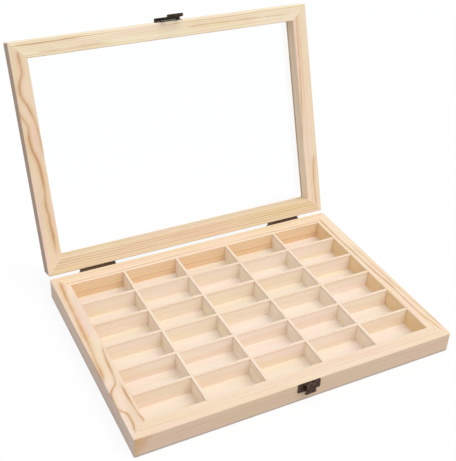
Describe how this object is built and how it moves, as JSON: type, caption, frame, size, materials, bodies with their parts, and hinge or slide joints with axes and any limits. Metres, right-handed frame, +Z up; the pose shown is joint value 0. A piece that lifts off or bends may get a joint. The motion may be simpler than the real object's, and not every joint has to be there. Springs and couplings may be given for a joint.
{
  "type": "film canister display case",
  "caption": "Shallow pine display case for film canisters, its base divided into small compartments, with a clear-windowed hinged lid and a swinging loop latch.",
  "frame": {"origin": "centre of the underside of the floor panel", "axes": "+Z up, +X to the right along the front, +Y to the back where the lid is hinged; at rest the lid stands open on its hinge stops"},
  "size_m": [0.35, 0.3587, 0.276],
  "materials": {
    "base_rail_pine": "raw sanded",
    "lid_rail_pine": "raw sanded",
    "divider_pine": "raw sanded",
    "floor_panel": "raw sanded",
    "clear_pane": "clear gloss",
    "hinge_bronze": "antique bronze",
    "latch_bronze": "antique bronze",
    "bronzed_fasteners": "antique bronze plate"
  },
  "bodies": {
    "base": {"base_floor": "floor_panel", "base_front_rail": "base_rail_pine", "base_back_rail": "base_rail_pine", "base_left_rail": "base_rail_pine", "base_right_rail": "base_rail_pine", "long_divider_1": "divider_pine", "long_divider_2": "divider_pine", "long_divider_3": "divider_pine", "long_divider_4": "divider_pine", "cross_divider_1": "divider_pine", "cross_divider_2": "divider_pine", "cross_divider_3": "divider_pine", "cross_divider_4": "divider_pine", "cross_divider_5": "divider_pine", "hinge_base_leaf_left": "hinge_bronze", "hinge_base_leaf_right": "hinge_bronze", "hinge_pin_left": "hinge_bronze", "hinge_pin_right": "hinge_bronze", "hinge_base_screws": "bronzed_fasteners", "catch_plate": "latch_bronze", "catch_nails": "bronzed_fasteners"},
    "lid": {"lid_front_rail": "lid_rail_pine", "lid_back_rail": "lid_rail_pine", "lid_left_rail": "lid_rail_pine", "lid_right_rail": "lid_rail_pine", "window_pane": "clear_pane", "hinge_lid_leaf_left": "hinge_bronze", "hinge_lid_leaf_right": "hinge_bronze", "hinge_lid_screws": "bronzed_fasteners", "latch_plate": "latch_bronze", "latch_nails": "bronzed_fasteners", "latch_pin": "latch_bronze"},
    "latch": {"latch_loop": "latch_bronze"}
  },
  "joints": [
    {"name": "lid_hinge", "type": "hinge", "parent": "base", "child": "lid", "pos_m": [0, 0.1277, 0.02365], "axis": [1, 0, 0], "range_deg": [0, 109]},
    {"name": "latch_swing", "type": "hinge", "parent": "lid", "child": "latch", "pos_m": [0.004, 0.22033, 0.26303], "axis": [-1, 0, 0], "range_deg": [-5, 170]}
  ]
}
